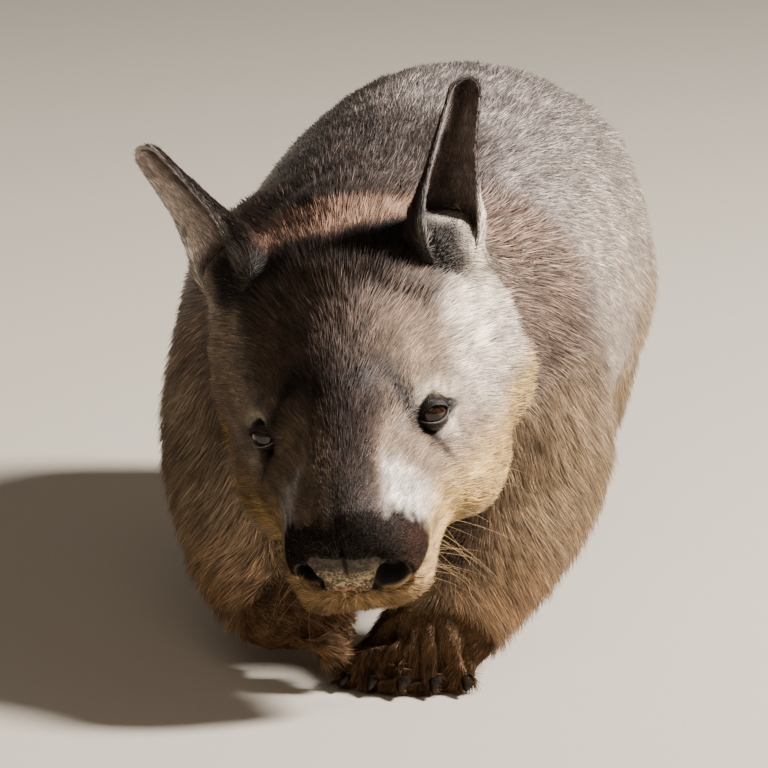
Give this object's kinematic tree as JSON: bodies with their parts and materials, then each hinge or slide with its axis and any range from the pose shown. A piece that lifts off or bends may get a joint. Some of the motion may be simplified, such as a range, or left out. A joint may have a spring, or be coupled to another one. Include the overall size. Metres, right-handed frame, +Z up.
{
  "type": "southern hairy-nosed wombat",
  "caption": "Life-size still model of a hairy-nosed wombat walking head down, with one forefoot lifted.",
  "frame": {"origin": "centre of the whole box at the floor under the feet", "axes": "-Y is the way the animal walks and looks, +X is its left, +Z is up"},
  "size_m": [0.26, 0.7066, 0.3427],
  "materials": {
    "coat": "short dense grey-brown fur, satin",
    "ears": "very short dark brown fur with silvery edges",
    "feet": "short dark brown bristly fur over leathery toes",
    "nose": "dark velvety nose with a dusting of dry sand",
    "eyes": "wet, dark brown",
    "claws": "dark horn, worn at the tips"
  },
  "bodies": {
    "root": {"torso": "coat", "neck": "coat", "head": "coat", "tail": "coat", "foreleg_left": "coat", "foreleg_right": "coat", "hindleg_left": "coat", "hindleg_right": "coat", "ear_left": "ears", "ear_right": "ears", "forefoot_left": "feet", "forefoot_right": "feet", "hindfoot_left": "feet", "hindfoot_right": "feet", "eye_left": "eyes", "eye_right": "eyes", "claw_forefoot_left_1": "claws", "claw_forefoot_left_2": "claws", "claw_forefoot_left_3": "claws", "claw_forefoot_left_4": "claws", "claw_forefoot_left_5": "claws", "claw_forefoot_right_1": "claws", "claw_forefoot_right_2": "claws", "claw_forefoot_right_3": "claws", "claw_forefoot_right_4": "claws", "claw_forefoot_right_5": "claws", "claw_hindfoot_left_1": "claws", "claw_hindfoot_left_2": "claws", "claw_hindfoot_left_3": "claws", "claw_hindfoot_left_4": "claws", "claw_hindfoot_right_1": "claws", "claw_hindfoot_right_2": "claws", "claw_hindfoot_right_3": "claws", "claw_hindfoot_right_4": "claws"}
  },
  "joints": []
}
